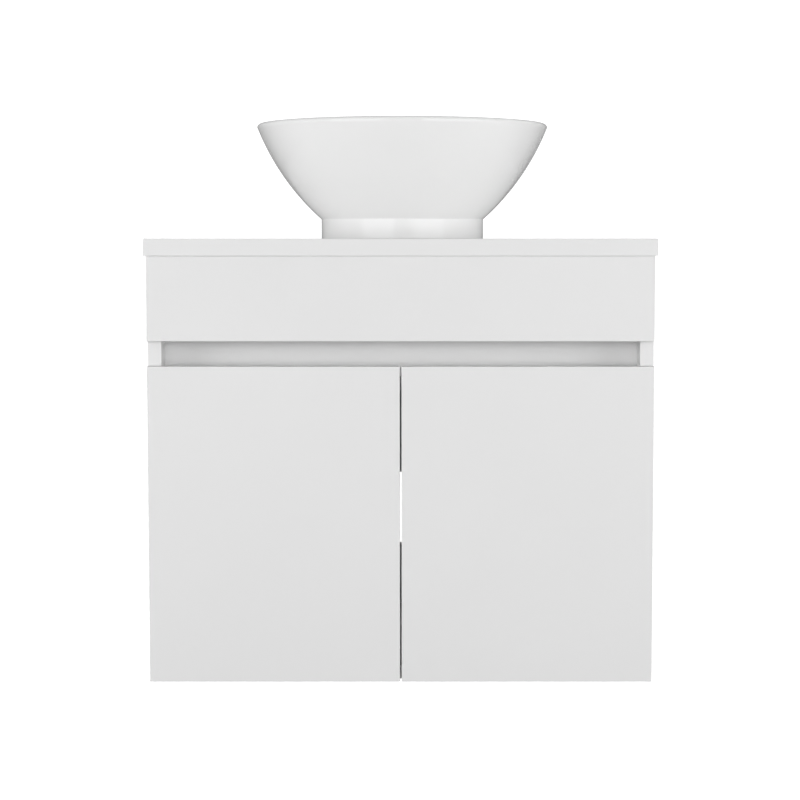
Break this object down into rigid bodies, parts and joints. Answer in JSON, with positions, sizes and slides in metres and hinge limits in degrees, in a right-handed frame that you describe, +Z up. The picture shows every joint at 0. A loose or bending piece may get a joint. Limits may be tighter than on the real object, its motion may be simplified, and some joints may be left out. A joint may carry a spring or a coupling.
{
  "type": "vessel sink on vanity",
  "caption": "Round glazed vessel basin on a wall-hung bathroom cabinet with a slab benchtop, finger recess and a pair of plain doors on concealed hinges.",
  "frame": {"origin": "middle of the upper row of wall fixing holes, on the wall plane", "axes": "+X along the wall to the right as seen from the room, +Y into the wall, +Z up"},
  "size_m": [0.6, 0.455, 0.669],
  "materials": {
    "white_board": "white satin lacquer on board",
    "white_benchtop": "white satin lacquer on board",
    "white_glaze": "white gloss glaze",
    "chrome_waste": "polished chrome plate",
    "nickel_hinge": "nickel-plated steel",
    "zinc_steel": "bright zinc plate",
    "beech": "plain beech, fluted",
    "white_silicone": "cured silicone",
    "black_rubber": "moulded rubber",
    "black_plastic": "moulded plastic",
    "clear_bumper": "soft clear bumper"
  },
  "bodies": {
    "cabinet": {"back_panel_upper": "white_board", "back_rail_lower": "white_board", "basin": "white_glaze", "basin_bead": "white_silicone", "benchtop": "white_benchtop", "benchtop_screws": "zinc_steel", "bottom_panel": "white_board", "bracket_screws": "zinc_steel", "cam_bolts": "zinc_steel", "cam_locks": "zinc_steel", "dowels": "beech", "fascia": "white_board", "fascia_brackets": "zinc_steel", "flange_seal": "black_rubber", "hinge_arms_left": "nickel_hinge", "hinge_arms_right": "nickel_hinge", "hinge_plates_left": "nickel_hinge", "hinge_plates_right": "nickel_hinge", "plate_screws_left": "zinc_steel", "plate_screws_right": "zinc_steel", "recess_board": "white_board", "recess_screws": "zinc_steel", "recess_shelf": "white_board", "side_panel_left": "white_board", "side_panel_right": "white_board", "top_rail_front": "white_board", "top_rail_rear": "white_board", "waste_backnut": "chrome_waste", "waste_body": "chrome_waste", "waste_cartridge": "black_plastic", "waste_plate_washer": "zinc_steel", "waste_washer": "black_rubber"},
    "links_left": {"hinge_links_left": "nickel_hinge"},
    "door_left": {"door_left": "white_board", "hinge_cups_left": "nickel_hinge", "cup_screws_left": "zinc_steel", "door_bumpers_left": "clear_bumper"},
    "links_right": {"hinge_links_right": "nickel_hinge"},
    "door_right": {"door_right": "white_board", "hinge_cups_right": "nickel_hinge", "cup_screws_right": "zinc_steel", "door_bumpers_right": "clear_bumper"},
    "plug": {"waste_plug": "chrome_waste", "plug_seal": "black_rubber"}
  },
  "joints": [
    {"name": "links_left_turn", "type": "hinge", "parent": "cabinet", "child": "links_left", "pos_m": [-0.264, -0.4354, -0.25675], "axis": [0, 0, -1], "range_deg": [-34, 0]},
    {"name": "door_left_swing", "type": "hinge", "parent": "links_left", "child": "door_left", "pos_m": [-0.2862, -0.4399, -0.25675], "axis": [0, 0, -1], "range_deg": [0, 136]},
    {"name": "links_right_turn", "type": "hinge", "parent": "cabinet", "child": "links_right", "pos_m": [0.264, -0.4354, -0.25675], "axis": [0, 0, 1], "range_deg": [-34, 0]},
    {"name": "door_right_swing", "type": "hinge", "parent": "links_right", "child": "door_right", "pos_m": [0.2862, -0.4399, -0.25675], "axis": [0, 0, 1], "range_deg": [0, 136]},
    {"name": "plug_lift", "type": "slide", "parent": "cabinet", "child": "plug", "axis": [0, 0, 1], "range_m": [0, 0.008]}
  ],
  "couplings": [
    {"joint": "links_left_turn", "follows": "door_left_swing", "ratio": -0.24242},
    {"joint": "links_right_turn", "follows": "door_right_swing", "ratio": -0.24242}
  ]
}
